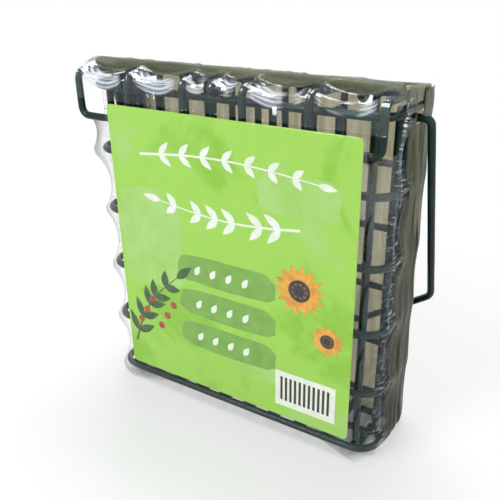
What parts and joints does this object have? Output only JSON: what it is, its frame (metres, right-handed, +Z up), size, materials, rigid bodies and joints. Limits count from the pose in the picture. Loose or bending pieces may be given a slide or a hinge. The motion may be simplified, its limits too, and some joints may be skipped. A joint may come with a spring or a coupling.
{
  "type": "suet feeder",
  "caption": "Dark green coated wire suet feeder with a hinged lid and a folding wire bail, in clear shrink film with a green card on the front.",
  "frame": {"origin": "Middle of the base, on the surface that the feeder stands on (mount base).", "axes": "+Z up the cage towards the lid, -Y out of the front face with the card, +X to the right seen from the front."},
  "size_m": [0.1502, 0.066, 0.1576],
  "materials": {
    "coated_wire": "dark green dip coating on steel wire, satin to glossy",
    "clear_film": "clear shrink film, glossy and wrinkled",
    "printed_card": "printed card, satin"
  },
  "bodies": {
    "cage": {"rim_hoop": "coated_wire", "hoop_1": "coated_wire", "hoop_2": "coated_wire", "hoop_3": "coated_wire", "hoop_4": "coated_wire", "hoop_5": "coated_wire", "long_wire_1": "coated_wire", "long_wire_2": "coated_wire", "long_wire_3": "coated_wire", "long_wire_4": "coated_wire", "long_wire_5": "coated_wire", "long_wire_6": "coated_wire", "long_wire_7": "coated_wire", "long_wire_8": "coated_wire", "long_wire_9": "coated_wire", "long_wire_10": "coated_wire", "cross_wire_1": "coated_wire", "cross_wire_2": "coated_wire", "label_card": "printed_card", "film_sleeve": "clear_film"},
    "lid": {"lid_frame": "coated_wire", "lid_slat_1": "coated_wire", "lid_slat_2": "coated_wire", "lid_slat_3": "coated_wire", "lid_slat_4": "coated_wire", "lid_cross_bar": "coated_wire", "lid_catch": "coated_wire", "film_cap": "clear_film"},
    "bail": {"bail": "coated_wire"}
  },
  "joints": [
    {"name": "lid_hinge", "type": "hinge", "parent": "cage", "child": "lid", "pos_m": [0, 0.02, 0.1462], "axis": [-1, 0, 0], "range_deg": [0, 180]},
    {"name": "bail_pivot", "type": "hinge", "parent": "cage", "child": "bail", "pos_m": [0, 0, 0.14285], "axis": [1, 0, 0], "range_deg": [0, 316]}
  ]
}
